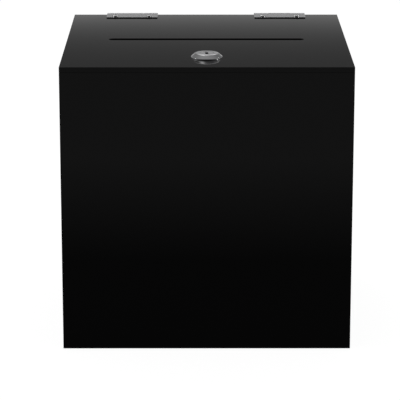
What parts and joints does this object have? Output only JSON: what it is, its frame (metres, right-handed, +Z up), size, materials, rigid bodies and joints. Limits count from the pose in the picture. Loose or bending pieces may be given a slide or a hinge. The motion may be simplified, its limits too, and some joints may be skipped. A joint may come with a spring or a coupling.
{
  "type": "ballot box",
  "caption": "Square black acrylic ballot box with a slotted lid on rear hinges and a cam lock near the front edge.",
  "frame": {"origin": "centre of the base's underside, on the surface that the box stands on", "axes": "+Z up, -Y out of the front wall on the lock's side, +X to the right seen from the front"},
  "size_m": [0.254, 0.257, 0.2582],
  "materials": {
    "black_acrylic": "polished",
    "hinge_steel": "bright nickel",
    "screw_steel": "bright zinc",
    "lock_chrome": "polished chrome",
    "zinc_steel": "zinc plated",
    "tumbler_brass": "satin"
  },
  "bodies": {
    "box": {"base_panel": "black_acrylic", "front_wall": "black_acrylic", "rear_wall": "black_acrylic", "left_wall": "black_acrylic", "right_wall": "black_acrylic", "latch_ledge": "black_acrylic", "left_rear_leaf": "hinge_steel", "right_rear_leaf": "hinge_steel", "left_hinge_pin": "hinge_steel", "right_hinge_pin": "hinge_steel", "rear_leaf_screws": "screw_steel", "rear_leaf_nuts": "screw_steel"},
    "lid": {"lid_panel": "black_acrylic", "left_lid_leaf": "hinge_steel", "right_lid_leaf": "hinge_steel", "lid_leaf_screws": "screw_steel", "lid_leaf_nuts": "screw_steel", "lock_housing": "lock_chrome", "lock_nut": "zinc_steel"},
    "lock_core": {"lock_plug": "lock_chrome", "wafer_tumblers": "tumbler_brass", "stop_washer": "zinc_steel", "lock_cam": "zinc_steel", "cam_nut": "zinc_steel"}
  },
  "joints": [
    {"name": "lid_hinge", "type": "hinge", "parent": "box", "child": "lid", "pos_m": [0, 0.12856, 0.25385], "axis": [-1, 0, 0], "range_deg": [0, 245]},
    {"name": "lock_turn", "type": "hinge", "parent": "lid", "child": "lock_core", "pos_m": [0, -0.084, 0.254], "axis": [0, 0, -1], "range_deg": [0, 90]}
  ]
}
